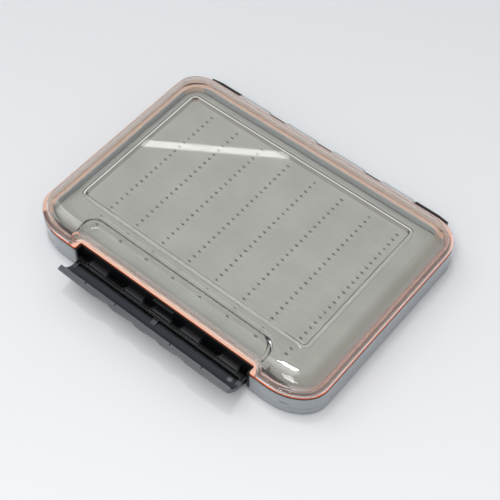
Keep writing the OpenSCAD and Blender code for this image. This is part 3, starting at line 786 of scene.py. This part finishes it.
def foam_pad():
    """A slit foam pad: each row is a fine cut that opens to a small round hole where the hooks have been set."""
    middle = sorted([0.0, -66, -60, -58, 58, 60, 66]
                    + [hole + d for hole in HOLES for d in (-1.2, -0.7, -0.42, -0.2, 0, 0.2, 0.42, 0.7, 1.2)])
    slits = [SLIT_SHIFT + (i - (SLIT_COUNT - 1) / 2) * SLIT_PITCH for i in range(SLIT_COUNT)]
    marks = [(FOAM_FRONT, "low"), (FOAM_FRONT, "side"), (FOAM_FRONT + EDGE_1, "edge"), (FOAM_FRONT + EDGE_2, "top")]
    for y in slits:
        marks += [(y - 1.2, "top"), (y, "lip0"), (y, "cut0"), (y, "cut1"), (y, "lip1"), (y + 1.2, "top")]
    marks += [(FOAM_BACK - EDGE_2, "top"), (FOAM_BACK - EDGE_1, "edge"), (FOAM_BACK, "side"), (FOAM_BACK, "low")]
    drops = {"low": FOAM_Z1 - FOAM_Z0, "side": EDGE_2, "edge": EDGE_1}
    rows = []
    for y, kind in marks:
        half, drop = foam_half_width(y), drops.get(kind, 0.0)
        left = [(-half, FOAM_Z0), (-half, FOAM_Z1 - max(drop, EDGE_2)), (-half + EDGE_1, FOAM_Z1 - max(drop, EDGE_1)),
                (-half + EDGE_2, FOAM_Z1 - drop)]
        rows.append([(x, y, z) for x, z in left] + [foam_point(x, y, kind, drop) for x in middle]
                    + [(-x, y, z) for x, z in reversed(left)])
    n = len(rows[0])
    points = [p for row in rows for p in row]
    faces = [(r * n + i, r * n + i + 1, (r + 1) * n + i + 1, (r + 1) * n + i)
             for r in range(len(rows) - 1) for i in range(n - 1)]
    rim = ([(r * n) for r in range(len(rows))] + [(len(rows) - 1) * n + i for i in range(1, n)]
           + [r * n + n - 1 for r in reversed(range(len(rows) - 1))] + [i for i in reversed(range(1, n - 1))])
    faces.append(rim[::-1])
    piece = new_piece("slit_foam", points, faces, FOAM)
    piece.data.set_sharp_from_angle(angle=math.radians(55))
    return piece


# ---- Pieces on their bodies ----------------------------------------------------------------

shell = lid_shell()
tabs = lid_tabs()
for piece in (shell, tabs):
    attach(piece, "lid")
    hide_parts("lid")

tub = moulded("tub", "smoke_tub", 0.25, SMOKE)
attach(tub, "case")
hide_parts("tub")

bezel = moulded("frame", "sealing_frame", 0.15, BLACK)
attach(bezel, "case")
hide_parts("frame")

seal = gasket_bead()
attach(seal, "case")
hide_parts("gasket")

pad = foam_pad()
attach(pad, "case")
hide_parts("foam_pad")

latch = moulded("latch", "finger_latch", 0.22, CHARCOAL)
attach(latch, "latch")
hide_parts("latch")

for node, material in (("hinge_pin", STEEL), ("latch_pin", STEEL), ("adhesive_sheet", FILM)):
    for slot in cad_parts[node].material_slots:
        slot.material = material


# ---- Floor, light and camera ---------------------------------------------------------------

# Half the floor's size and its height, just under the case, in millimetres
FLOOR_HALF, FLOOR_Z = 3000, -0.05
corners = [(x * FLOOR_HALF, y * FLOOR_HALF, FLOOR_Z) for x, y in ((-1, -1), (1, -1), (1, 1), (-1, 1))]
floor = new_piece("floor", corners, [(0, 1, 2, 3)], white_sweep(), smooth=False)

# The room lights the box a little less than it shows behind it
world = bpy.data.worlds.new("white_room")
bpy.context.scene.world = world
world.use_nodes = True
world.node_tree.nodes.clear()
path = add(world.node_tree, "ShaderNodeLightPath")
level = ramp(world.node_tree, path.outputs["Is Camera Ray"], 0.0, 1.0, 0.68, 1.0)
sky = add(world.node_tree, "ShaderNodeBackground", {"Color": srgb("#F8F9FB"), "Strength": level})
add(world.node_tree, "ShaderNodeOutputWorld", {"Surface": sky.outputs["Background"]})


def softbox(name, place, along, width, depth, watts):
    """A rectangular studio lamp that faces the box, with its long side along a direction."""
    lamp = bpy.data.lights.new(name, "AREA")
    lamp.shape = "RECTANGLE"
    lamp.size, lamp.size_y, lamp.energy = width, depth, watts
    holder = bpy.data.objects.new(name, lamp)
    outward = Vector(place).normalized()
    side = Vector(along)
    side = (side - outward * side.dot(outward)).normalized()
    turn = Matrix((side, outward.cross(side), outward)).transposed()
    holder.matrix_world = Matrix.Translation(place) @ turn.to_4x4()
    bpy.context.scene.collection.objects.link(holder)


# A wide soft lamp, two bars that show on the lid's front right corner, and a thin one for the streak on the window
softbox("main_softbox", (-0.7, -0.15, 1.5), (1, 0, 0), 1.4, 0.6, 4.9)
softbox("bar_lamp_back", (-0.292, 0.184, 1.5), (0.98, -0.2, 0), 0.24, 0.1, 2.4)
softbox("bar_lamp_front", (0.124, -0.638, 1.063), (0.679, -0.6, -0.42), 0.7, 0.22, 3.2)
softbox("streak_lamp", (-0.868, 0.947, 1.5), (0.839, 0.545, 0), 0.3, 0.013, 0.05)

# The photograph's camera, fitted to the foam's grid of slit ends: its lens, its three axes and its place
camera_data = bpy.data.cameras.new("camera")
camera_data.lens = 88.19
camera_data.sensor_width = 36.0
camera_data.clip_start = 0.01
camera = bpy.data.objects.new("camera", camera_data)
bpy.context.scene.collection.objects.link(camera)
right, up = (0.77184, 0.63582, -0.00104), (-0.51752, 0.62918, 0.57992)
back = (0.36938, -0.44707, 0.81467)
place = (0.1975, -0.2354, 0.4270)
camera.matrix_world = Matrix([(right[i], up[i], back[i], place[i]) for i in range(3)] + [(0, 0, 0, 1)])
bpy.context.scene.camera = camera
bpy.context.scene.view_settings.view_transform = "Standard"
